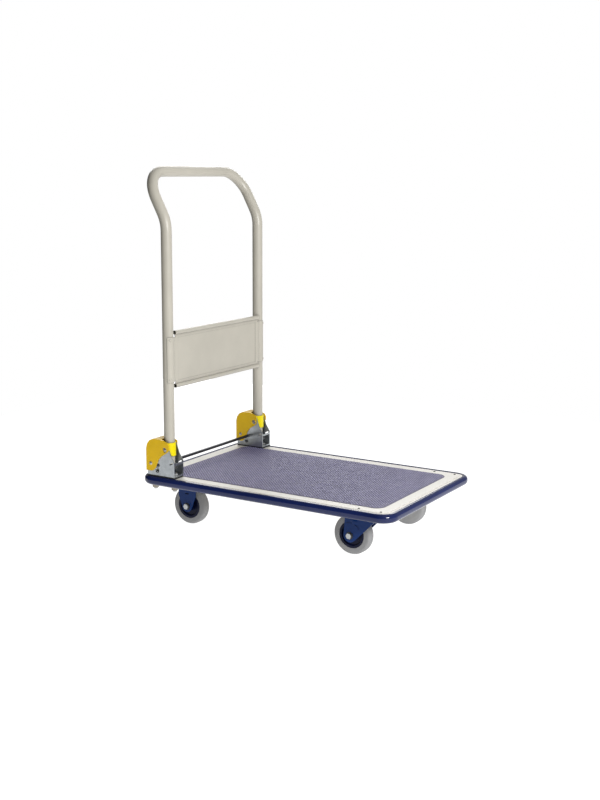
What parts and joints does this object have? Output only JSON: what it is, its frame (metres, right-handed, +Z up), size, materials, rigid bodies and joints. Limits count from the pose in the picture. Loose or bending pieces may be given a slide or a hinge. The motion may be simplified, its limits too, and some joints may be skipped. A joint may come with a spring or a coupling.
{
  "type": "folding platform cart",
  "caption": "Folding platform cart: flat matted deck with a round bumper, fold-down tube handle with a sheet panel, hinge brackets, foot release bar, fixed rear and swivel front casters.",
  "frame": {"origin": "on the floor, under the middle of the deck", "axes": "+X forwards away from the handle, +Y to the cart's left, +Z up"},
  "size_m": [0.74, 0.48, 0.932],
  "materials": {
    "deck_paint": "satin enamel",
    "handle_paint": "satin powder coat",
    "under_steel": "satin enamel",
    "mat": "fine chequered vinyl",
    "bumper": "semi-gloss vinyl",
    "fork_paint": "gloss enamel",
    "plated_steel": "bright zinc plate",
    "zinc_sheet": "zinc plated sheet",
    "spring_steel": "drawn wire",
    "black_steel": "black oxide",
    "cover_plastic": "moulded, satin",
    "pad_rubber": "matt",
    "hub_plastic": "moulded, satin",
    "tyre": "matt grey rubber"
  },
  "bodies": {
    "platform": {"deck_plate": "deck_paint", "front_member": "under_steel", "rear_member": "under_steel", "deck_ribs": "under_steel", "deck_mat": "mat", "bumper": "bumper", "deck_rivets": "black_steel", "hinge_pads": "pad_rubber", "hinge_backings": "under_steel", "bracket_bolts": "plated_steel", "bracket_nuts": "plated_steel", "pivot_pins": "plated_steel", "cover_screws": "plated_steel", "return_springs": "spring_steel", "caster_plates": "fork_paint", "kingpins": "plated_steel", "caster_bolts": "plated_steel", "caster_nuts": "plated_steel", "hinge_bracket_right": "zinc_sheet", "hinge_bracket_left": "zinc_sheet", "hinge_cover_right": "cover_plastic", "hinge_cover_left": "cover_plastic", "rear_fork_right": "fork_paint", "rear_fork_left": "fork_paint", "rear_sleeves": "plated_steel", "rear_axle_bolts": "plated_steel", "rear_axle_washers": "black_steel", "rear_axle_nuts": "plated_steel"},
    "handle": {"handle_tube": "handle_paint", "tube_plugs": "pad_rubber", "handle_panel": "handle_paint", "panel_rivets": "handle_paint", "handle_collars": "cover_plastic"},
    "release": {"release_bar": "black_steel"},
    "swivel_right": {"front_fork_right": "fork_paint", "front_race_right": "black_steel", "front_sleeve_right": "plated_steel", "front_axle_bolt_right": "plated_steel", "front_axle_washer_right": "black_steel", "front_axle_nut_right": "plated_steel"},
    "front_wheel_right": {"front_tyre_right": "tyre", "front_hub_right": "hub_plastic"},
    "rear_wheel_right": {"rear_tyre_right": "tyre", "rear_hub_right": "hub_plastic"},
    "swivel_left": {"front_fork_left": "fork_paint", "front_race_left": "black_steel", "front_sleeve_left": "plated_steel", "front_axle_bolt_left": "plated_steel", "front_axle_washer_left": "black_steel", "front_axle_nut_left": "plated_steel"},
    "front_wheel_left": {"front_tyre_left": "tyre", "front_hub_left": "hub_plastic"},
    "rear_wheel_left": {"rear_tyre_left": "tyre", "rear_hub_left": "hub_plastic"}
  },
  "joints": [
    {"name": "handle_fold", "type": "hinge", "parent": "platform", "child": "handle", "pos_m": [-0.289, 0, 0.21], "axis": [0, 1, 0], "range_deg": [0, 90]},
    {"name": "release_press", "type": "slide", "parent": "platform", "child": "release", "axis": [-0.2504, 0, -0.9681], "range_m": [0, 0.015], "stiffness_N_per_m": 900, "springref_m": -0.012, "deforming": ["return_springs"]},
    {"name": "swivel_right_turn", "type": "hinge", "parent": "platform", "child": "swivel_right", "pos_m": [0.264, -0.15, 0.105], "axis": [0, 0, 1], "continuous": true},
    {"name": "front_wheel_right_roll", "type": "hinge", "parent": "swivel_right", "child": "front_wheel_right", "pos_m": [0.2265, -0.15, 0.05], "axis": [0, 1, 0], "continuous": true},
    {"name": "rear_wheel_right_roll", "type": "hinge", "parent": "platform", "child": "rear_wheel_right", "pos_m": [-0.263, -0.15, 0.05], "axis": [0, 1, 0], "continuous": true},
    {"name": "swivel_left_turn", "type": "hinge", "parent": "platform", "child": "swivel_left", "pos_m": [0.264, 0.15, 0.105], "axis": [0, 0, 1], "continuous": true},
    {"name": "front_wheel_left_roll", "type": "hinge", "parent": "swivel_left", "child": "front_wheel_left", "pos_m": [0.2265, 0.15, 0.05], "axis": [0, 1, 0], "continuous": true},
    {"name": "rear_wheel_left_roll", "type": "hinge", "parent": "platform", "child": "rear_wheel_left", "pos_m": [-0.263, 0.15, 0.05], "axis": [0, 1, 0], "continuous": true}
  ]
}
